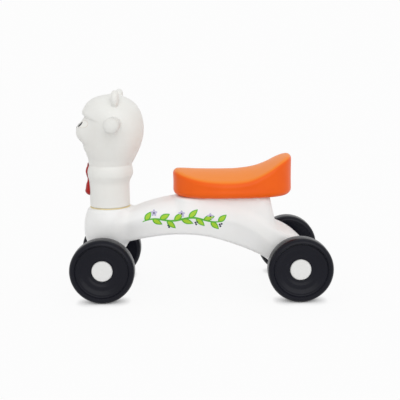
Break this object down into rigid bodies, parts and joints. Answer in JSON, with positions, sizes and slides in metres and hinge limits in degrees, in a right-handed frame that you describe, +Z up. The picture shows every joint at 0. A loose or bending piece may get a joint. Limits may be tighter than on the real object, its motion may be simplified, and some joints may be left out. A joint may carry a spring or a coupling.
{
  "type": "ride-on toy",
  "caption": "Low four-wheeled ride-on toy with an arched hollow body, a dished saddle seat and a turning animal head that carries the hand grips and steers the front axle.",
  "frame": {"origin": "point on the floor under the middle of the wheelbase, on the middle plane", "axes": "+X towards the rear of the toy, +Y to its right, +Z up"},
  "size_m": [0.5, 0.2406, 0.4001],
  "materials": {
    "white_body": "satin white blow-moulded polyethylene",
    "white_head": "satin warm white blow-moulded polyethylene",
    "orange": "satin orange blow-moulded polyethylene",
    "black_wheel": "satin black blow-moulded polyethylene",
    "grey_cap": "pale grey moulded polypropylene",
    "yellow_nylon": "yellow nylon",
    "red_tie": "red moulded vinyl",
    "black_print": "black printed vinyl",
    "eye_print": "printed vinyl, pale with a fine outline and a small dark pupil",
    "green_print": "printed vinyl with a plain leaf band",
    "natural_nylon": "natural nylon",
    "black_fork": "black injection-moulded polypropylene",
    "steel": "zinc-plated steel"
  },
  "bodies": {
    "frame": {"body_shell": "white_body", "side_label_left": "green_print", "side_label_right": "green_print", "seat_shell": "orange", "seat_screw_1": "steel", "seat_screw_2": "steel", "steering_sleeve": "natural_nylon", "steering_washer": "yellow_nylon", "rear_axle": "steel", "rear_bush_left": "natural_nylon", "rear_bush_right": "natural_nylon", "push_nut_rear_left": "steel", "push_nut_rear_right": "steel", "spacer_rear_left": "natural_nylon", "spacer_rear_right": "natural_nylon"},
    "steering": {"steering_fork": "black_fork", "steering_bolt": "steel", "steering_nut": "steel", "steering_nut_washer": "steel", "head_shell": "white_head", "neck_tie": "red_tie", "handlebar": "steel", "grip_left": "white_head", "grip_right": "white_head", "eye_left": "eye_print", "eye_right": "eye_print", "nose": "black_print", "front_axle": "steel", "push_nut_front_left": "steel", "push_nut_front_right": "steel", "spacer_front_left": "natural_nylon", "spacer_front_right": "natural_nylon"},
    "front_left_wheel": {"wheel_front_left": "black_wheel", "hub_cap_front_left": "grey_cap"},
    "front_right_wheel": {"wheel_front_right": "black_wheel", "hub_cap_front_right": "grey_cap"},
    "rear_left_wheel": {"wheel_rear_left": "black_wheel", "hub_cap_rear_left": "grey_cap"},
    "rear_right_wheel": {"wheel_rear_right": "black_wheel", "hub_cap_rear_right": "grey_cap"}
  },
  "joints": [
    {"name": "steering_turn", "type": "hinge", "parent": "frame", "child": "steering", "pos_m": [-0.1785, 0, 0.062], "axis": [0, 0, 1], "range_deg": [-22, 22]},
    {"name": "front_left_spin", "type": "hinge", "parent": "steering", "child": "front_left_wheel", "pos_m": [-0.188, -0.0905, 0.062], "axis": [0, 1, 0], "continuous": true},
    {"name": "front_right_spin", "type": "hinge", "parent": "steering", "child": "front_right_wheel", "pos_m": [-0.188, 0.0905, 0.062], "axis": [0, 1, 0], "continuous": true},
    {"name": "rear_left_spin", "type": "hinge", "parent": "frame", "child": "rear_left_wheel", "pos_m": [0.188, -0.10175, 0.062], "axis": [0, 1, 0], "continuous": true},
    {"name": "rear_right_spin", "type": "hinge", "parent": "frame", "child": "rear_right_wheel", "pos_m": [0.188, 0.10175, 0.062], "axis": [0, 1, 0], "continuous": true}
  ]
}
